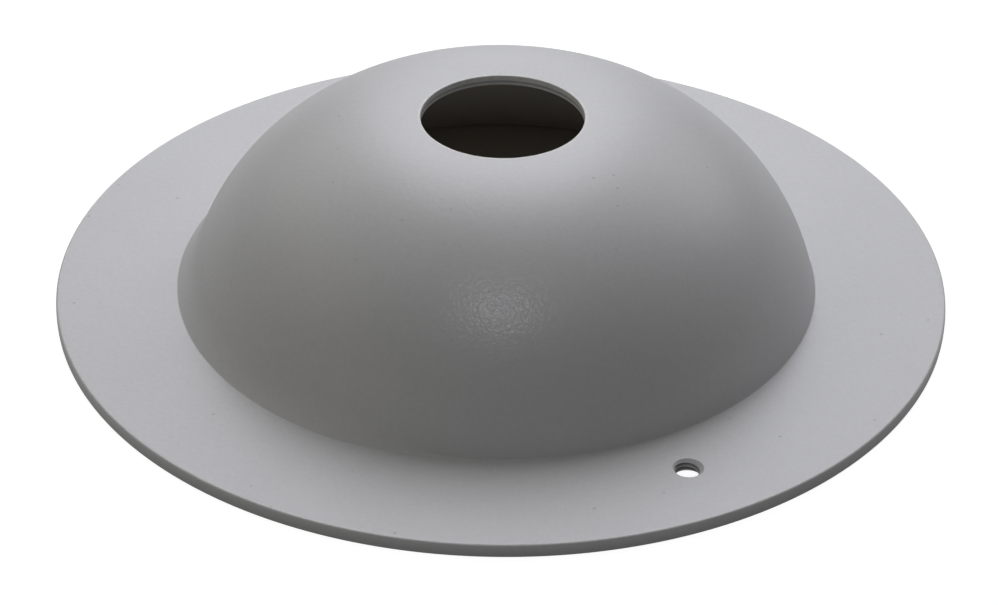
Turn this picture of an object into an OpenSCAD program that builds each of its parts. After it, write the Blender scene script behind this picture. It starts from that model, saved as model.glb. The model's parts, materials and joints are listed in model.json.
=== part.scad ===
// Domed vent base: a round flange plate, a dome shell that stands on it, and the fillet seam between them.
// Origin: centre of the flange's underside. +Z is up, through the crown opening.
// All sizes are in millimetres and include the coat of paint.

/* [Flange plate] */
// Outer diameter of the flange
flange_d = 200; // [190:1:260]
// Thickness of the flange
flange_t = 3.1; // [2.5:0.1:5]
// Duct opening in the flange, under the dome
duct_d = 100; // [40:1:130]
// Radius on the flange's outer edges
flange_edge_r = 0.5; // [0.2:0.1:1]

/* [Tapped fixing holes] */
// Diameter of the circle that the tapped holes lie on
hole_circle_d = 165.4; // [158:0.1:176]
// Angle of the first hole, counted from +X towards +Y
hole_angle = -61.7; // [-90:0.1:90]
// Number of tapped holes, equally spaced
hole_count = 2; // [1:1:8]
// Nominal thread diameter
thread_d = 6; // [4:1:8]
// Pitch of the thread
thread_pitch = 1; // [0.5:0.25:1.25]
// Diameter of the countersink at both ends of a tapped hole
hole_mouth_d = 6.6; // [6.4:0.1:9]

/* [Dome shell] */
// Outer diameter of the dome where it meets the flange
foot_d = 141.6; // [138:0.1:150]
// Height of the crown above the flange's top face
dome_h = 41.6; // [36:0.1:44]
// Angle between the foot of the dome and the flange
foot_angle = 73.4; // [70:0.1:76]
// Diameter at which the dome's curve turns level
crown_flat_d = 37.5; // [37:0.1:44]
// Diameter of the crown opening
crown_hole_d = 36; // [20:0.1:36.8]
// Wall thickness at the foot
wall_foot_t = 3.1; // [2:0.1:4]
// Wall thickness at the crown, where forming has thinned the sheet
wall_crown_t = 2.3; // [1.5:0.1:3]

/* [Foot weld] */
// Radius of the dressed fillet between the dome and the flange
weld_r = 1.5; // [1:0.1:4]
// Width of the bevel on the dome's foot that the weld fills
weld_root = 2; // [1.2:0.1:2.5]

/* [Hidden] */
$fn = 180;
coat = [0.73, 0.73, 0.75];
// Depth of an ISO metric thread over its pitch, from the nominal to the minor diameter
minor_depth_ratio = 1.0825;
tap_d = thread_d - minor_depth_ratio * thread_pitch;
mouth_depth = (hole_mouth_d - tap_d) / 2;
// How far a cutter runs past the face that it cuts
past = 1;

// Radius of the arc that leaves a slope of `angle` and turns level over `run` across and `rise` up
function arc_r(run, rise, angle) = (run * sin(angle) - rise * cos(angle)) / (1 - cos(angle));

// Half of a dome's solid section: a straight foot, one arc, and a level crown
module dome_section(foot_r, rise, level_r) {
    r = arc_r(foot_r - level_r, rise, foot_angle);
    arc_start_x = level_r + r * sin(foot_angle);
    arc_start_y = rise - r * (1 - cos(foot_angle));
    union() {
        square([level_r, rise]);
        intersection() {
            translate([level_r, rise - r]) circle(r = r);
            polygon([
                [level_r, arc_start_y],
                [arc_start_x, arc_start_y],
                [arc_start_x, rise],
                [level_r, rise]
            ]);
        }
        polygon([[0, 0], [foot_r, 0], [arc_start_x, arc_start_y], [0, arc_start_y]]);
    }
}

// Flange section with its two outer edges rounded
module flange_section() {
    r = flange_edge_r;
    width = (flange_d - duct_d) / 2;
    translate([duct_d / 2, 0]) square([width - r, flange_t]);
    translate([duct_d / 2, r]) square([width, flange_t - 2 * r]);
    for (y = [r, flange_t - r]) {
        translate([flange_d / 2 - r, y]) circle(r = r, $fn = 48);
    }
}

// One tapped hole at its minor diameter, with a countersink at both ends
module tapped_hole() {
    translate([0, 0, -past]) cylinder(d = tap_d, h = flange_t + 2 * past);
    cylinder(d1 = hole_mouth_d, d2 = tap_d, h = mouth_depth);
    translate([0, 0, flange_t - mouth_depth]) cylinder(d1 = tap_d, d2 = hole_mouth_d, h = mouth_depth);
}

module flange_plate() {
    color(coat) difference() {
        rotate_extrude() flange_section();
        for (i = [0 : hole_count - 1]) {
            rotate([0, 0, hole_angle + i * 360 / hole_count]) {
                translate([hole_circle_d / 2, 0, 0]) tapped_hole();
            }
        }
    }
}

// Point on the dome's straight foot, at a distance up its slope
function on_foot(distance) = [foot_d / 2 - distance * cos(foot_angle), distance * sin(foot_angle)];

// The bevel that is cut from the dome's foot, as the weld's root
module weld_root_section() {
    polygon([[foot_d / 2 - weld_root, 0], [foot_d / 2, 0], on_foot(weld_root)]);
}

module dome_shell() {
    inner_foot_r = foot_d / 2 - wall_foot_t / sin(foot_angle);
    color(coat) translate([0, 0, flange_t]) difference() {
        rotate_extrude() difference() {
            dome_section(foot_d / 2, dome_h, crown_flat_d / 2);
            dome_section(inner_foot_r, dome_h - wall_crown_t, crown_flat_d / 2);
            weld_root_section();
        }
        translate([0, 0, dome_h - wall_crown_t - past]) cylinder(d = crown_hole_d, h = wall_crown_t + 2 * past);
    }
}

// The weld fills the bevel, and rounds the corner between the dome's straight foot and the flange's top face
module foot_weld() {
    leg = weld_r * tan(foot_angle / 2);
    fillet_x = foot_d / 2 + leg;
    color(coat) translate([0, 0, flange_t]) rotate_extrude() difference() {
        polygon([[foot_d / 2 - weld_root, 0], [fillet_x, 0], on_foot(leg), on_foot(weld_root)]);
        translate([fillet_x, weld_r]) circle(r = weld_r);
    }
}

flange_plate();
dome_shell();
foot_weld();
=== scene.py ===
"""The looks of a domed vent base in grey paint: a round flange plate, a dome shell and a weld."""

import json
import math

import bpy
from mathutils import Matrix, Vector, noise


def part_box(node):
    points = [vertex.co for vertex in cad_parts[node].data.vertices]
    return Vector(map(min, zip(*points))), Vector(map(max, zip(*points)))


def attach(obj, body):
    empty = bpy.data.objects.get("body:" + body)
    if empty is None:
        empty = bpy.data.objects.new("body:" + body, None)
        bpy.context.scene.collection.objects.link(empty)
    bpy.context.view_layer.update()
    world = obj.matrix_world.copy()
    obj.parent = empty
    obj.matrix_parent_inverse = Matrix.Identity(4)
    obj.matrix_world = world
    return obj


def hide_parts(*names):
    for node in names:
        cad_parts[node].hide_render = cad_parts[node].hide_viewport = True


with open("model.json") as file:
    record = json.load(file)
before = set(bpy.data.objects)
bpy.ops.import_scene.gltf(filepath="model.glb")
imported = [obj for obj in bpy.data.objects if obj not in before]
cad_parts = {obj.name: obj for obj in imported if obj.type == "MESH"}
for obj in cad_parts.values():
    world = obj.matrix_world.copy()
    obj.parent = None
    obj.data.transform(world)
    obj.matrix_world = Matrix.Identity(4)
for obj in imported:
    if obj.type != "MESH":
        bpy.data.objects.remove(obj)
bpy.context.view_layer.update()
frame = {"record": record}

MM = 0.001
QUARTER_TURN = math.pi / 2

# ---------------------------------------------------------------- sizes, from the frame
MOUNTS = {mount["name"]: mount for mount in frame["record"]["mounts"]}
PLATE_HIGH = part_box("flange_plate")[1]
DOME_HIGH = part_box("dome_shell")[1]
FLANGE_R = PLATE_HIGH.x
FLANGE_T = PLATE_HIGH.z
FOOT_R = DOME_HIGH.x
CROWN_Z = DOME_HIGH.z
CROWN_RISE = CROWN_Z - FLANGE_T
CROWN_HOLE_R = MOUNTS["crown_opening"]["dims"]["r_mm"] * MM
CROWN_T = MOUNTS["crown_opening"]["dims"]["length_mm"] * MM
DUCT_R = MOUNTS["duct_opening"]["dims"]["r_mm"] * MM
TAPPED_HOLES = [Vector(MOUNTS[name]["pos_m"]) for name in ("front_tapped_hole", "back_tapped_hole")]
MINOR_R = MOUNTS["front_tapped_hole"]["dims"]["r_mm"] * MM
MOUTH_DEPTH = (FLANGE_T - MOUNTS["front_tapped_hole"]["dims"]["length_mm"] * MM) / 2

# ---------------------------------------------------------------- sizes that the frame does not state
FOOT_ANGLE = math.radians(73.4)
# Radius at which the dome's arc turns level
LEVEL_R = 18.75 * MM
FOOT_WALL_T = 3.1 * MM
# Width and height of the bevel on the dome's foot that the weld fills
WELD_ROOT = 2.0 * MM
ROOT_HEIGHT = WELD_ROOT * math.sin(FOOT_ANGLE)


# ---------------------------------------------------------------- outlines
def clamped(value, low, high):
    return min(high, max(low, value))


def ramp(value, low, high):
    """0 up to low, 1 from high on, and evenly between them."""
    return clamped((value - low) / (high - low), 0.0, 1.0)


def spread(start, end, steps):
    """Evenly spaced values from start up to, but not including, end."""
    return [start + (end - start) * k / steps for k in range(steps)]


def arc(centre, radius, start, end, steps):
    """Points on an arc in the (r, z) plane, both ends included. Angles are counted from +r towards +z."""
    angles = [start + (end - start) * i / steps for i in range(steps + 1)]
    return [(centre[0] + radius * math.cos(a), centre[1] + radius * math.sin(a)) for a in angles]


# How far the support point beside a rounded corner lies from the corner, over the reach of the rounding
SUPPORT = 1.6


def rounded(outline, radii, steps=6):
    """A closed outline with some corners rounded: radii maps a corner's place in the list to its radius.
    A support point beside each end of the arc keeps the shading of the flat faces flat."""
    points = []
    count = len(outline)
    for i, corner in enumerate(outline):
        if i not in radii:
            points.append(corner)
            continue
        here = Vector(corner)
        before = (Vector(outline[i - 1]) - here).normalized()
        after = (Vector(outline[(i + 1) % count]) - here).normalized()
        half = before.angle(after) / 2
        reach = radii[i] / math.tan(half)
        centre = here + (before + after).normalized() * (radii[i] / math.sin(half))
        first = here + before * reach
        last = here + after * reach
        points.append(tuple(here + before * reach * SUPPORT))
        for k in range(steps + 1):
            direction = (first - centre).lerp(last - centre, k / steps).normalized()
            points.append(tuple(centre + direction * radii[i]))
        points.append(tuple(here + after * reach * SUPPORT))
    return points


# ---------------------------------------------------------------- the dome's side
STRAIGHT_STEPS = 4


def dome_arc(foot_r, rise):
    """Radius of the dome's arc, and the height at which the straight foot turns into it."""
    run = foot_r - LEVEL_R
    radius = (run * math.sin(FOOT_ANGLE) - rise * math.cos(FOOT_ANGLE)) / (1 - math.cos(FOOT_ANGLE))
    return radius, rise - radius * (1 - math.cos(FOOT_ANGLE))


def dome_radius(foot_r, rise, height):
    """Radius of the dome's side at a height above the flange's top face."""
    radius, arc_height = dome_arc(foot_r, rise)
    if height < arc_height:
        return foot_r - height / math.tan(FOOT_ANGLE)
    return LEVEL_R + math.sqrt(radius**2 - (height - rise + radius) ** 2)


def dome_curve(foot_r, rise, first, steps):
    """One side of the dome, from a height on its straight foot, through one arc, to where it turns level."""
    radius, arc_height = dome_arc(foot_r, rise)
    heights = spread(first, arc_height, STRAIGHT_STEPS)
    straight = [(dome_radius(foot_r, rise, height), FLANGE_T + height) for height in heights]
    centre = (LEVEL_R, FLANGE_T + rise - radius)
    return straight + arc(centre, radius, QUARTER_TURN - FOOT_ANGLE, QUARTER_TURN, steps)


# ---------------------------------------------------------------- meshes
SHARP_ANGLE = math.radians(40)


def make_mesh(name, vertices, faces):
    """A smooth-shaded object without unused vertices."""
    used = sorted({index for face in faces for index in face})
    place = {old: new for new, old in enumerate(used)}
    mesh = bpy.data.meshes.new(name)
    mesh.from_pydata([vertices[i] for i in used], [], [[place[i] for i in face] for face in faces])
    mesh.validate()
    mesh.shade_smooth()
    mesh.set_sharp_from_angle(angle=SHARP_ANGLE)
    piece = bpy.data.objects.new(name, mesh)
    bpy.context.scene.collection.objects.link(piece)
    return piece


def swept(outline, segments):
    """Vertices of an (r, z) outline swept round the Z axis. The outline may be a function of the angle."""
    vertices = []
    for i in range(segments):
        turn = 2 * math.pi * i / segments
        points = outline(turn) if callable(outline) else outline
        vertices += [(r * math.cos(turn), r * math.sin(turn), z) for r, z in points]
    return vertices


def ring_faces(segments, count, skip=lambda i, j: False):
    """Quads of a closed outline of count points swept round the Z axis, in the order that swept gives.
    Vertex i * count + j is outline point j at turn i, and skip names the quads that are left out."""
    faces = []
    for i in range(segments):
        here = i * count
        there = (i + 1) % segments * count
        for j in range(count):
            if skip(i, j):
                continue
            k = (j + 1) % count
            faces.append((here + j, there + j, there + k, here + k))
    return faces


def lathe(name, outline, segments):
    """A piece from a closed, counter-clockwise (r, z) outline swept round the Z axis."""
    vertices = swept(outline, segments)
    return make_mesh(name, vertices, ring_faces(segments, len(vertices) // segments))


def mark(piece, name, value_at):
    """A value on every vertex, for the paint: value_at takes the vertex's place."""
    attribute = piece.data.attributes.new(name, "FLOAT", "POINT")
    attribute.data.foreach_set("value", [float(value_at(vertex.co)) for vertex in piece.data.vertices])


def mark_rings(piece, name, values):
    """The same for a lathed piece: one value for each point of its outline."""
    attribute = piece.data.attributes.new(name, "FLOAT", "POINT")
    turns = len(piece.data.vertices) // len(values)
    attribute.data.foreach_set("value", [float(value) for value in values] * turns)


# ---------------------------------------------------------------- flange plate
PLATE_SEGMENTS = 1440
EDGE_R = 0.5 * MM
EDGE_STEPS = 8
DUCT_EDGE_STEPS = 6
# The side face is fullest at half its height, by this much
SIDE_BULGE = 0.06 * MM
SIDE_STEPS = 8
SHOULDER_R = FLANGE_R - SIDE_BULGE - EDGE_R
# Where the plate's rings start beside the duct opening, and the narrow rings under the dome's foot: from this
# far inside the foot to this far outside it
BESIDE_DUCT = 2 * MM
UNDER_FOOT = 2 * MM
BESIDE_FOOT = 4 * MM
# The block of quads that is left out round each tapped hole: half its segments, its rings, and half its width
BLOCK_HALF = 24
BLOCK_RINGS = 8
BLOCK_REACH = 5.0 * MM
HOLE_CIRCLE_R = TAPPED_HOLES[0].xy.length
BLOCK_START_R = HOLE_CIRCLE_R - BLOCK_REACH
BLOCK_END_R = HOLE_CIRCLE_R + BLOCK_REACH

# Painted shade: how much darker the plate's side gets towards its foot
SIDE_SHADE = 0.9
# How much of the coat is rubbed off the outer edges, and how far down the rounding that reaches
EDGE_RUBBED = 0.3
RUBBED_DEPTH = EDGE_R * 0.8


def plate_radii():
    """Radii of the rings on the plate's two flat faces, from the duct opening outwards. A ring beside each
    rounded edge keeps the shading of the flat faces flat."""
    duct_edge = DUCT_R + EDGE_R
    outer_edge = FLANGE_R - SIDE_BULGE - EDGE_R * 1.5
    return (
        [duct_edge, duct_edge + EDGE_R / 2]
        + spread(duct_edge + BESIDE_DUCT, FOOT_R - UNDER_FOOT, 4)
        + spread(FOOT_R - UNDER_FOOT, FOOT_R + BESIDE_FOOT, 8)
        + spread(FOOT_R + BESIDE_FOOT, BLOCK_START_R, 2)
        + spread(BLOCK_START_R, BLOCK_END_R, BLOCK_RINGS)
        + spread(BLOCK_END_R, outer_edge, 4)
        + [outer_edge]
    )


def plate_side():
    """The plate's outer edge, from below upwards: a rounding, a slightly full side face, a rounding."""
    flat_height = FLANGE_T - 2 * EDGE_R
    heights = [EDGE_R + flat_height * k / SIDE_STEPS for k in range(1, SIDE_STEPS)]
    bulges = [SIDE_BULGE * ((2 * height - FLANGE_T) / flat_height) ** 2 for height in heights]
    side = [(FLANGE_R - bulge, height) for bulge, height in zip(bulges, heights)]
    lower = arc((SHOULDER_R, EDGE_R), EDGE_R, -QUARTER_TURN, 0, EDGE_STEPS)
    upper = arc((SHOULDER_R, FLANGE_T - EDGE_R), EDGE_R, 0, QUARTER_TURN, EDGE_STEPS)
    return lower + side + upper


def duct_side():
    """The edge of the duct opening, rounded above and below, from above downwards."""
    centre_r = DUCT_R + EDGE_R
    upper = arc((centre_r, FLANGE_T - EDGE_R), EDGE_R, QUARTER_TURN, 2 * QUARTER_TURN, DUCT_EDGE_STEPS)
    lower = arc((centre_r, EDGE_R), EDGE_R, 2 * QUARTER_TURN, 3 * QUARTER_TURN, DUCT_EDGE_STEPS)
    return upper[1:] + lower[:-1]


def flange_plate():
    """The plate: a ring, with a tapped hole in place of a block of its flat faces at each hole."""
    radii = plate_radii()
    bottom = [(r, 0.0) for r in radii]
    side = plate_side()
    top = [(r, FLANGE_T) for r in reversed(radii)]
    outline = bottom + side + top + duct_side()
    first_ring = min(range(len(radii)), key=lambda k: abs(radii[k] - BLOCK_START_R))
    last_ring = first_ring + BLOCK_RINGS
    last_on_top = len(bottom) + len(side) + len(radii) - 1

    turns = [math.atan2(hole.y, hole.x) / (2 * math.pi) for hole in TAPPED_HOLES]
    middles = [round(turn * PLATE_SEGMENTS) % PLATE_SEGMENTS for turn in turns]

    def top_index(ring):
        return last_on_top - ring

    def in_block(i, j):
        near = any((i - middle + BLOCK_HALF) % PLATE_SEGMENTS < 2 * BLOCK_HALF for middle in middles)
        on_top = top_index(last_ring) <= j < top_index(first_ring)
        on_bottom = first_ring <= j < last_ring
        return near and (on_top or on_bottom)

    def vertex_at(i, j):
        return i % PLATE_SEGMENTS * len(outline) + j

    vertices = swept(outline, PLATE_SEGMENTS)
    faces = ring_faces(PLATE_SEGMENTS, len(outline), in_block)
    for hole, middle in zip(TAPPED_HOLES, middles):
        # Once round the block, from the middle of its outer side
        walk = (
            [(middle + k, last_ring) for k in range(BLOCK_HALF)]
            + [(middle + BLOCK_HALF, last_ring - k) for k in range(BLOCK_RINGS)]
            + [(middle + BLOCK_HALF - k, first_ring) for k in range(2 * BLOCK_HALF)]
            + [(middle - BLOCK_HALF, first_ring + k) for k in range(BLOCK_RINGS)]
            + [(middle - BLOCK_HALF + k, last_ring) for k in range(BLOCK_HALF)]
        )
        above = [vertex_at(i, top_index(ring)) for i, ring in walk]
        below = [vertex_at(i, ring) for i, ring in walk]
        add_tapped_hole(vertices, faces, hole, above, below)
    plate = make_mesh("flange_plate_painted", vertices, faces)
    # Painted shade in the thread's grooves and low on the plate's side
    mark(plate, "painted_shade", shade_on_plate)
    mark(plate, "rubbed_and_highlit", rubbed_on_plate)
    # Painted shade on the top face under the dome
    mark(plate, "shaded_indoors", lambda at: at.z > FLANGE_T / 2 and at.xy.length < FOOT_R - FOOT_WALL_T / 2)
    return plate


def shade_on_plate(at):
    """Painted shade: darker deeper in the thread's grooves, and darker towards the foot of the plate's side.
    """
    from_bore = min(((at - hole - BORE_SHIFT).xy for hole in TAPPED_HOLES), key=lambda away: away.length)
    depth = min(at.z, FLANGE_T - at.z)
    if from_bore.length < MOUTH_R and depth > LIP_R:
        cone = MOUTH_R - depth - BORE_SHIFT.xy.dot(from_bore.normalized())
        return ramp(from_bore.length - max(MINOR_R, cone), SHADE_FROM, SHADE_FULL)
    if at.xy.length > FLANGE_R - SIDE_BULGE - EDGE_R / 2:
        return SIDE_SHADE * ramp(FLANGE_T - at.z, EDGE_R, FLANGE_T)
    return 0.0


def rubbed_on_plate(at):
    """The plate's two outer edges, where handling rubs the coat."""
    on_edge = at.xy.length > SHOULDER_R and min(at.z, FLANGE_T - at.z) < RUBBED_DEPTH
    return EDGE_RUBBED * on_edge


# ---------------------------------------------------------------- tapped holes
BORE_ROWS = 150
MOUTH_R = MINOR_R + MOUTH_DEPTH
# Slope of the countersinks, and the small rounding between them and the plate's faces
CONE_ANGLE = math.pi / 4
LIP_R = 0.15 * MM
LIP_STEPS = 4
# The bore sits a little off the centre of its countersinks
BORE_SHIFT = Vector((-0.25 * MM, 0, 0))
THREAD_PITCH = 1.0 * MM
THREAD_DEPTH = 0.54 * MM
# How deep below the top face a groove's middle lies, on the far side of the hole
GROOVE_DEPTH_AT_BACK = 1.0 * MM
# Steepness of the thread's flanks, and the share of its depth that the flat crests cut off
FLANK_GAIN = 1.25
CREST_CUT = 0.12
# Width of the soft edge where a groove runs out into the countersink
RUN_OUT = 0.06 * MM
# Depth in a groove at which the painted shade starts, and at which it is darkest
SHADE_FROM = 0.05 * MM
SHADE_FULL = 0.3 * MM
# Where the loops between the block's border and the hole's lip lie, as shares of the way
APRON_SHARES = (0.35, 0.7, 1.0)


def thread_radius(turn, z, shift):
    """Radius of the tapped wall at an angle about the bore and a height: the thread's, or the countersink's
    where that is wider. The bore sits off the countersink's centre by a shift in the angle's direction."""
    lead = (z - FLANGE_T + GROOVE_DEPTH_AT_BACK) / THREAD_PITCH - turn / (2 * math.pi)
    from_groove = abs((lead + 0.5) % 1 - 0.5) * 2
    thread = MINOR_R + THREAD_DEPTH * clamped((1 - from_groove) * FLANK_GAIN - CREST_CUT, 0.0, 1.0)
    depth = min(z, FLANGE_T - z)
    cone = MOUTH_R - depth - shift
    share = (clamped((thread - cone) / RUN_OUT, -1.0, 1.0) + 1) / 2
    return cone + (thread - cone) * share + RUN_OUT * share * (1 - share) * 0.5


def add_tapped_hole(vertices, faces, hole, above, below):
    """A countersunk, tapped wall through the plate, joined to a loop of vertices around it on both faces."""
    columns = len(above)
    turns = [2 * math.pi * k / columns for k in range(columns)]
    up = Vector((0, 0, 1))
    centre = Vector((hole.x, hole.y, 0))
    bore_centre = centre + BORE_SHIFT
    outward = centre.normalized()
    along = Vector((-outward.y, outward.x, 0))
    to_back = math.atan2(along.y, outward.y)
    directions = [outward * math.cos(turn) + along * math.sin(turn) for turn in turns]
    flat_r = MOUTH_R + LIP_R * math.tan(CONE_ANGLE / 2)
    loops = [above]

    def add_loop(points):
        start = len(vertices)
        vertices.extend(tuple(p) for p in points)
        loops.append(list(range(start, start + columns)))

    def circle(radius, z):
        return [centre + d * radius + up * z for d in directions]

    def apron(z, loop, share):
        rim = circle(flat_r + LIP_R, z)
        return [Vector(vertices[v]).lerp(p, share) for v, p in zip(loop, rim)]

    def wall(z):
        radii = [thread_radius(turn - to_back, z, BORE_SHIFT.dot(d)) for turn, d in zip(turns, directions)]
        return [bore_centre + d * radius + up * z for d, radius in zip(directions, radii)]

    lip = [
        (flat_r - LIP_R * math.sin(a), LIP_R * (1 - math.cos(a)))
        for a in spread(0, CONE_ANGLE, LIP_STEPS) + [CONE_ANGLE]
    ]
    lip_depth = lip[-1][1]
    for share in APRON_SHARES:
        add_loop(apron(FLANGE_T, above, share))
    for radius, depth in lip[:-1]:
        add_loop(circle(radius, FLANGE_T - depth))
    for row in range(BORE_ROWS + 1):
        add_loop(wall(FLANGE_T - lip_depth - (FLANGE_T - 2 * lip_depth) * row / BORE_ROWS))
    for radius, depth in reversed(lip[:-1]):
        add_loop(circle(radius, depth))
    for share in reversed(APRON_SHARES):
        add_loop(apron(0, below, share))
    loops.append(below)
    for upper, lower in zip(loops, loops[1:]):
        for k in range(columns):
            n = (k + 1) % columns
            faces.append((upper[k], upper[n], lower[n], lower[k]))


# ---------------------------------------------------------------- dome shell
DOME_SEGMENTS = 540
OUTER_STEPS = 72
INNER_STEPS = 56
INNER_FOOT_CORNER_R = 0.5 * MM
# The crown's cut edge, from above: a rounding, a smooth sheared band, a band that broke away, and a lip.
# The two shares are of the wall's thickness: where the sheared band ends, and where the broken one is deepest
RIM_R = 0.25 * MM
SHEAR_SHARE = 0.5
BREAK_SHARE = 0.7
BREAK_DEPTH = 0.22 * MM
LIP_STEP = 0.08 * MM
SHARP_LIP_R = 0.06 * MM
# How dark the painted shade on the broken band is, and how far past the band's deepest corner that goes on,
# as a share of the wall
BROKEN_BAND_SHADE = 0.7
BROKEN_FADE = 0.05
# How much of the inner faces' painted shade the cut edge has
RIM_INDOOR_SHADE = 0.1


def crown_rim(lip_z):
    """The corners of the crown's cut edge, from the dome's top face to the lip at the inner face."""
    return [
        (CROWN_HOLE_R, CROWN_Z),
        (CROWN_HOLE_R, CROWN_Z - CROWN_T * SHEAR_SHARE),
        (CROWN_HOLE_R + BREAK_DEPTH, CROWN_Z - CROWN_T * BREAK_SHARE),
        (CROWN_HOLE_R + LIP_STEP, lip_z + 2 * SHARP_LIP_R),
        (CROWN_HOLE_R + LIP_STEP, lip_z),
    ]


def dome_shell():
    bevel = [(FOOT_R - WELD_ROOT, FLANGE_T)]
    outer = bevel + dome_curve(FOOT_R, CROWN_RISE, ROOT_HEIGHT, OUTER_STEPS)
    inner_foot_r = FOOT_R - FOOT_WALL_T / math.sin(FOOT_ANGLE)
    inner = dome_curve(inner_foot_r, CROWN_RISE - CROWN_T, 0, INNER_STEPS)
    lip_z = CROWN_Z - CROWN_T
    first_rim = len(outer)
    corners = outer + crown_rim(lip_z) + list(reversed(inner))
    radii = {
        first_rim: RIM_R,
        first_rim + 1: SHARP_LIP_R,
        first_rim + 2: SHARP_LIP_R,
        first_rim + 4: SHARP_LIP_R,
        len(corners) - 1: INNER_FOOT_CORNER_R,
    }
    outline = rounded(corners, radii)
    dome = lathe("dome_shell_painted", outline, DOME_SEGMENTS)

    lip = next(k for k, (r, z) in enumerate(outline) if k > first_rim and z < lip_z + SHARP_LIP_R / 2)
    rim_end_r = CROWN_HOLE_R + 2 * RIM_R
    on_rim = [k >= first_rim and r < rim_end_r and z > lip_z for k, (r, z) in enumerate(outline)]
    depths = [(CROWN_Z - z) / CROWN_T for r, z in outline]
    broken = [here and SHEAR_SHARE < depth < BREAK_SHARE + BROKEN_FADE for here, depth in zip(on_rim, depths)]
    # Painted shade on the broken band of the crown's cut edge
    mark_rings(dome, "painted_shade", [BROKEN_BAND_SHADE * dark for dark in broken])
    # A painted highlight on the rest of the cut edge, broken up by worn patches
    mark_rings(dome, "rubbed_and_highlit", [here and not dark for here, dark in zip(on_rim, broken)])
    # Painted shade on the dome's inner faces, and a little of it on the cut edge
    mark_rings(dome, "shaded_indoors", [1.0 if k > lip else RIM_INDOOR_SHADE * here for k, here in enumerate(on_rim)])
    return dome


# ---------------------------------------------------------------- foot weld
WELD_SEGMENTS = 1440
WELD_FACE_ANGLE = math.radians(48)
WELD_FACE_STEPS = 14
# How far the weld reaches out on the flange: widely round one direction, and hardly at all elsewhere
WELD_TIGHT_LEG = 0.1 * MM
WELD_WIDE_LEG = 2.12 * MM
WELD_WIDE_AT = math.radians(200)
WELD_WIDE_HALF = math.radians(50)
WELD_FADE_HALF = math.radians(13)
# Unevenness of the wide part, as a share of its reach, and how often it comes and goes
WELD_RIPPLE = 0.05
WELD_RIPPLE_SCALE = 7
WELD_TOE_R = 0.3 * MM
WELD_TOE_STEPS = 6
# How far the weld runs into the plate and the dome, so that no gap shows
WELD_TUCK = 0.06 * MM


def weld_leg(turn):
    """How far the weld reaches out on the flange at an angle round the dome."""
    away = abs(math.remainder(turn - WELD_WIDE_AT, 2 * math.pi))
    share = clamped((WELD_WIDE_HALF + WELD_FADE_HALF - away) / (2 * WELD_FADE_HALF), 0.0, 1.0)
    share = share * share * (3 - 2 * share)
    ripple = 1 + WELD_RIPPLE * noise.noise(Vector((math.cos(turn), math.sin(turn), 0)) * WELD_RIPPLE_SCALE)
    return WELD_TIGHT_LEG + (WELD_WIDE_LEG * ripple - WELD_TIGHT_LEG) * share


def weld_outline(turn):
    """The weld's section at an angle round the dome: toe, hollow face, and the root that fills the bevel.
    The face is a parabola that leaves the toe at WELD_FACE_ANGLE and meets the dome without a crease."""
    leg_to_height = (1 / math.tan(WELD_FACE_ANGLE) - 1 / math.tan(FOOT_ANGLE)) / 2
    leg = weld_leg(turn)
    face_height = leg / leg_to_height
    top_height = max(face_height, ROOT_HEIGHT) + WELD_TUCK
    toe_r = min(WELD_TOE_R, leg)
    toe_tangent = toe_r * math.tan(WELD_FACE_ANGLE / 2)
    toe_x = FOOT_R + leg + toe_tangent
    toe_centre = (toe_x, FLANGE_T + toe_r)
    toe = arc(toe_centre, toe_r, -QUARTER_TURN, -QUARTER_TURN - WELD_FACE_ANGLE, WELD_TOE_STEPS)
    toe_height = toe_tangent * math.sin(WELD_FACE_ANGLE)
    heights = spread(toe_height, face_height, WELD_FACE_STEPS)[1:] + [face_height]
    face = [
        (dome_radius(FOOT_R, CROWN_RISE, height) + leg * (1 - height / face_height) ** 2, FLANGE_T + height)
        for height in heights
    ]
    top_r = dome_radius(FOOT_R, CROWN_RISE, top_height)
    root_r = dome_radius(FOOT_R, CROWN_RISE, ROOT_HEIGHT)
    under = [(FOOT_R - WELD_ROOT - WELD_TUCK, FLANGE_T - WELD_TUCK), (toe_x, FLANGE_T - WELD_TUCK)]
    back = [
        (top_r, FLANGE_T + top_height),
        (top_r - WELD_TUCK, FLANGE_T + top_height),
        (root_r - WELD_TUCK, FLANGE_T + ROOT_HEIGHT),
    ]
    return under + toe + face + back


def foot_weld():
    """The dressed weld. It has no painted shade, painted highlight or wear, so that all of its marks are 0.
    """
    weld = lathe("foot_weld_painted", weld_outline, WELD_SEGMENTS)
    for name in ("painted_shade", "rubbed_and_highlit", "shaded_indoors"):
        mark(weld, name, lambda at: 0.0)
    return weld


# ---------------------------------------------------------------- shader nodes
def node(tree, kind, **inputs):
    """A new node with some of its inputs set. An underscore in a name stands for a space."""
    made = tree.nodes.new(kind)
    for key, value in inputs.items():
        made.inputs[key.replace("_", " ")].default_value = value
    return made


def band(tree, source, low, high, to_low, to_high):
    """A value mapped from low..high to to_low..to_high, clamped at both ends."""
    mapped = node(tree, "ShaderNodeMapRange", From_Min=low, From_Max=high, To_Min=to_low, To_Max=to_high)
    tree.links.new(source, mapped.inputs["Value"])
    return mapped.outputs["Result"]


def times(tree, first, second):
    product = tree.nodes.new("ShaderNodeMath")
    product.operation = "MULTIPLY"
    tree.links.new(first, product.inputs[0])
    tree.links.new(second, product.inputs[1])
    return product.outputs["Value"]


def clouds(tree, place, scale, detail, roughness):
    """Smooth noise about 0.5, with scale clouds to the metre."""
    noise_node = node(tree, "ShaderNodeTexNoise", Scale=scale, Detail=detail, Roughness=roughness)
    tree.links.new(place, noise_node.inputs["Vector"])
    return noise_node.outputs["Fac"]


def vertex_value(tree, name):
    attribute = tree.nodes.new("ShaderNodeAttribute")
    attribute.attribute_name = name
    return attribute.outputs["Fac"]


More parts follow.
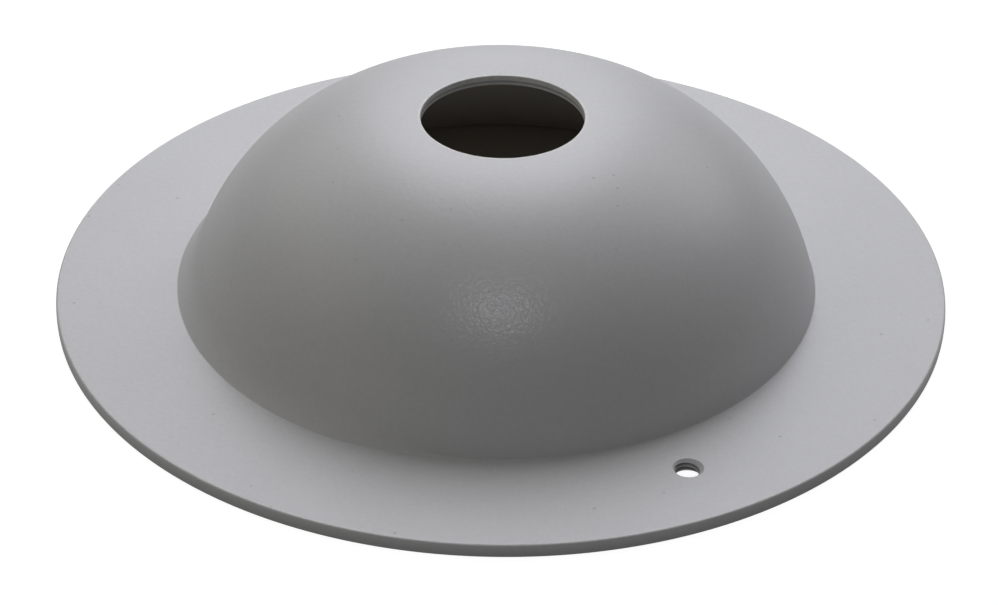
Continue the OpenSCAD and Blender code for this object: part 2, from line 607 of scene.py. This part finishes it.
def blend(tree, factor, first, second):
    """A colour that goes from first to second as the factor goes from 0 to 1. Any may be a socket."""
    mix = tree.nodes.new("ShaderNodeMix")
    mix.data_type = "RGBA"
    sockets = {socket.identifier: socket for socket in mix.inputs}
    for key, value in (("Factor_Float", factor), ("A_Color", first), ("B_Color", second)):
        if isinstance(value, bpy.types.NodeSocket):
            tree.links.new(value, sockets[key])
        else:
            sockets[key].default_value = value
    return next(socket for socket in mix.outputs if socket.identifier == "Result_Color")


# ---------------------------------------------------------------- paint
COAT = (0.529, 0.529, 0.539, 1)
# A darker, warmer copy of the coat: painted shade under the dome
SHADED_INDOORS_COAT = (0.39, 0.365, 0.32, 1)
# A dark copy of the coat: painted shade in the grooves, low on the plate's side and on the crown's broken
# band
SHADE_COAT = (0.28, 0.28, 0.28, 1)
# A lighter copy of the coat: rubbed wear on the plate's edges, and a painted highlight on the crown's cut
# edge
RUBBED_AND_HIGHLIT_COAT = (0.68, 0.67, 0.65, 1)

# Clouds to the metre, detail and roughness of the coat's grain, its softer ripple, the ripple of its gloss,
# the worn patches and the broad tone
GRAIN = (2100.0, 2.0, 0.6)
PEEL = (900.0, 2.0, 0.5)
GLOSS_RIPPLE = (1300.0, 1.0, 0.5)
PATCHES = (700.0, 4.0, 0.7)
BROAD = (30.0, 4.0, 0.6)
# The share of the colour that is left in the darkest places of each layer
BROAD_TONE = 0.965
GRAIN_TONE = 0.97
PEEL_TONE = 0.965
SPECK_TONE = 0.7
# Where a noise's dark places end and its light places start
NOISE_LOW, NOISE_HIGH = 0.3, 0.7
PEEL_LOW, PEEL_HIGH = 0.35, 0.65
PATCH_LOW, PATCH_HIGH = 0.35, 0.6
# The share of the lighter colour, rubbed wear and painted highlight, that shows between the worn patches
LEAST_RUBBED_AND_HIGHLIT = 0.4

# Dust specks: cells to the metre, and the random value from which a cell has a speck, with a narrow fade
SPECK_SCALE = 200.0
SPECK_CHOICE = (0.72, 0.74)
# A speck's solid and faded radius, in cells
SPECK_RADII = (0.04, 0.11)
# The upward part of the normal where specks start to settle and where all of them do, and the share elsewhere
LEVEL_RANGE = (0.7, 0.95)
STEEP_SPECKS = 0.1

# The base's roughness in the grain's dark and light places, and the glossier skin's strength and roughness
ROUGHNESS = (0.48, 0.56)
SKIN_SHARE = 0.3
SKIN_ROUGHNESS = 0.25
# Heights of the bumps, where the softer ripple counts so many times as much as the grain
PEEL_HEIGHT = 1.6
BUMP_DEPTH = 0.016 * MM
GLOSS_BUMP_DEPTH = 0.135 * MM


def dust_specks(tree, place):
    """Up to 1 in a few tiny spots of dust in the coat, mostly on level faces, and 0 elsewhere."""
    cells = node(tree, "ShaderNodeTexVoronoi", Scale=SPECK_SCALE, Randomness=1.0)
    tree.links.new(place, cells.inputs["Vector"])
    split = tree.nodes.new("ShaderNodeSeparateColor")
    tree.links.new(cells.outputs["Color"], split.inputs["Color"])
    close = band(tree, cells.outputs["Distance"], *SPECK_RADII, 1.0, 0.0)
    chosen = band(tree, split.outputs["Red"], *SPECK_CHOICE, 0.0, 1.0)
    normal = tree.nodes.new("ShaderNodeSeparateXYZ")
    tree.links.new(tree.nodes.new("ShaderNodeNewGeometry").outputs["Normal"], normal.inputs["Vector"])
    level = band(tree, normal.outputs["Z"], *LEVEL_RANGE, STEEP_SPECKS, 1.0)
    return times(tree, times(tree, close, chosen), level)


def paint_colour(tree, place, grain, peel):
    """The coat's colour, with painted shade, rubbed wear and a painted highlight where its marks say, times
    the tone of all its layers.
    """
    tone = band(tree, clouds(tree, place, *BROAD), NOISE_LOW, NOISE_HIGH, BROAD_TONE, 1.0)
    tone = times(tree, tone, band(tree, grain, NOISE_LOW, NOISE_HIGH, GRAIN_TONE, 1.0))
    tone = times(tree, tone, band(tree, peel, PEEL_LOW, PEEL_HIGH, PEEL_TONE, 1.0))
    tone = times(tree, tone, band(tree, dust_specks(tree, place), 0.0, 1.0, 1.0, SPECK_TONE))

    worn = band(tree, clouds(tree, place, *PATCHES), PATCH_LOW, PATCH_HIGH, LEAST_RUBBED_AND_HIGHLIT, 1.0)
    # Rubbed wear on the plate's edges, and a painted highlight on the crown's cut edge, both in worn patches
    rubbed_and_highlit = times(tree, vertex_value(tree, "rubbed_and_highlit"), worn)
    # Painted shade under the dome
    colour = blend(tree, vertex_value(tree, "shaded_indoors"), COAT, SHADED_INDOORS_COAT)
    # Painted shade in the thread's grooves, low on the plate's side and on the crown's broken band
    colour = blend(tree, vertex_value(tree, "painted_shade"), colour, SHADE_COAT)
    colour = blend(tree, rubbed_and_highlit, colour, RUBBED_AND_HIGHLIT_COAT)
    toned = tree.nodes.new("ShaderNodeVectorMath")
    toned.operation = "SCALE"
    tree.links.new(colour, toned.inputs[0])
    tree.links.new(tone, toned.inputs["Scale"])
    return toned.outputs["Vector"]


def bumped(tree, height, depth):
    """A normal that is bent by a height of 0 to 1, which stands for a depth in metres."""
    bump = node(tree, "ShaderNodeBump", Strength=1.0, Distance=depth)
    tree.links.new(height, bump.inputs["Height"])
    return bump.outputs["Normal"]


def grey_paint():
    """Grey powder coat: a matt base with an even fine grain, under a glossier skin with its own ripple."""
    material = bpy.data.materials.new("grey_paint")
    material.use_nodes = True
    tree = material.node_tree
    tree.nodes.clear()
    link = tree.links.new
    place = tree.nodes.new("ShaderNodeTexCoord").outputs["Object"]
    grain = clouds(tree, place, *GRAIN)
    peel = clouds(tree, place, *PEEL)

    heights = tree.nodes.new("ShaderNodeMath")
    heights.operation = "MULTIPLY_ADD"
    heights.inputs[1].default_value = PEEL_HEIGHT
    link(peel, heights.inputs[0])
    link(grain, heights.inputs[2])

    shader = node(
        tree, "ShaderNodeBsdfPrincipled", IOR=1.5, Coat_Weight=SKIN_SHARE, Coat_Roughness=SKIN_ROUGHNESS
    )
    link(paint_colour(tree, place, grain, peel), shader.inputs["Base Color"])
    link(band(tree, grain, NOISE_LOW, NOISE_HIGH, *ROUGHNESS), shader.inputs["Roughness"])
    link(bumped(tree, heights.outputs["Value"], BUMP_DEPTH), shader.inputs["Normal"])
    link(bumped(tree, clouds(tree, place, *GLOSS_RIPPLE), GLOSS_BUMP_DEPTH), shader.inputs["Coat Normal"])
    output = tree.nodes.new("ShaderNodeOutputMaterial")
    link(shader.outputs["BSDF"], output.inputs["Surface"])
    return material


# ---------------------------------------------------------------- stage
CAMERA_DISTANCE = 7.26 * FLANGE_R
CAMERA_ELEVATION = math.radians(32.77)
CAMERA_ROLL = math.radians(-0.554)
CAMERA_LENS = 115.78
SENSOR_WIDTH = 36
# The point in the middle of the picture
AIM = Vector((-0.0040 * FLANGE_R, 0, FLANGE_T - 0.0730 * FLANGE_R))

WORLD_STRENGTH = 0.176
FLOOR_HALF = 3.0
FLOOR_GAP = 0.05 * MM
FLOOR_COLOUR = (0.3, 0.3, 0.3, 1)
# How much the floor glows where the camera sees it, and where only the part's gloss does
FLOOR_GLOW = 0.93
FLOOR_GLOW_REFLECTED = 0.37

PLAIN = (1, 1, 1)
COOL = (0.92, 0.927, 1.0)
WARM = (1.0, 0.965, 0.82)
LAMP_DISTANCE = 1.6
LAMP_SIZE = 1.0
# Name, azimuth and elevation in degrees, power in watts, and colour
LAMPS = (
    ("key", 180, 50, 8.7, COOL),
    ("key_high", 180, 66, 1.9, PLAIN),
    ("key_low", 180, 34, 2.7, COOL),
    ("back", 180, 18, 2.7, COOL),
    ("back_right", 135, 34, 4.4, PLAIN),
    ("back_left", 225, 34, 1.95, WARM),
    ("left", 270, 40, 1.4, WARM),
    ("front_left", 315, 12, 0.95, WARM),
)
GLINT = ("glint", -0.5, 58.5, 3.0, COOL)
GLINT_DISTANCE = 1.4
GLINT_SIZE = 0.3


def add_camera():
    data = bpy.data.cameras.new("camera")
    data.lens = CAMERA_LENS
    data.sensor_width = SENSOR_WIDTH
    data.clip_start = 0.01
    data.clip_end = 20
    camera = bpy.data.objects.new("camera", data)
    bpy.context.scene.collection.objects.link(camera)
    camera.location = (
        0,
        -CAMERA_DISTANCE * math.cos(CAMERA_ELEVATION),
        FLANGE_T + CAMERA_DISTANCE * math.sin(CAMERA_ELEVATION),
    )
    aim = (AIM - camera.location).to_track_quat("-Z", "Y")
    camera.rotation_mode = "QUATERNION"
    camera.rotation_quaternion = aim @ Matrix.Rotation(-CAMERA_ROLL, 3, "Z").to_quaternion()
    bpy.context.scene.camera = camera


def add_lamp(name, azimuth, elevation, power, colour, distance=LAMP_DISTANCE, size=LAMP_SIZE):
    """A round soft lamp that faces the flange's centre. Azimuth 0 is the front, and 180 is behind."""
    data = bpy.data.lights.new(name, "AREA")
    data.shape = "DISK"
    data.size = size
    data.energy = power
    data.color = colour
    lamp = bpy.data.objects.new(name, data)
    bpy.context.scene.collection.objects.link(lamp)
    turn = math.radians(azimuth)
    lift = math.radians(elevation)
    away = Vector((math.sin(turn) * math.cos(lift), -math.cos(turn) * math.cos(lift), math.sin(lift)))
    lamp.location = away * distance
    lamp.rotation_mode = "QUATERNION"
    lamp.rotation_quaternion = away.to_track_quat("Z", "Y")
    return lamp


def add_floor(name, glow):
    """A pale floor that glows a little, so that it shows no shadow of the part."""
    corners = ((-1, -1), (1, -1), (1, 1), (-1, 1))
    vertices = [(x * FLOOR_HALF, y * FLOOR_HALF, -FLOOR_GAP) for x, y in corners]
    floor = make_mesh(name, vertices, [(0, 1, 2, 3)])
    material = bpy.data.materials.new(name)
    material.use_nodes = True
    shader = material.node_tree.nodes["Principled BSDF"]
    shader.inputs["Base Color"].default_value = FLOOR_COLOUR
    shader.inputs["Roughness"].default_value = 0.9
    shader.inputs["Emission Color"].default_value = (*PLAIN, 1)
    shader.inputs["Emission Strength"].default_value = glow
    floor.data.materials.append(material)
    floor.visible_diffuse = False
    return floor


def add_surroundings():
    world = bpy.data.worlds.new("studio")
    bpy.context.scene.world = world
    world.use_nodes = True
    background = world.node_tree.nodes["Background"]
    background.inputs["Color"].default_value = (*PLAIN, 1)
    background.inputs["Strength"].default_value = WORLD_STRENGTH


# ---------------------------------------------------------------- build
add_camera()
add_floor("floor", FLOOR_GLOW).visible_glossy = False
add_floor("floor_in_reflections", FLOOR_GLOW_REFLECTED).visible_camera = False
add_surroundings()
for lamp in LAMPS:
    add_lamp(*lamp)
# The glint lays down only the soft highlight on the dome, and no diffuse light
add_lamp(*GLINT, GLINT_DISTANCE, GLINT_SIZE).visible_diffuse = False
bpy.context.scene.view_settings.view_transform = "Standard"

paint = grey_paint()
for piece, cad_node in (
    (flange_plate(), "flange_plate"),
    (dome_shell(), "dome_shell"),
    (foot_weld(), "foot_weld"),
):
    piece.data.materials.append(paint)
    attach(piece, "root")
    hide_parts(cad_node)
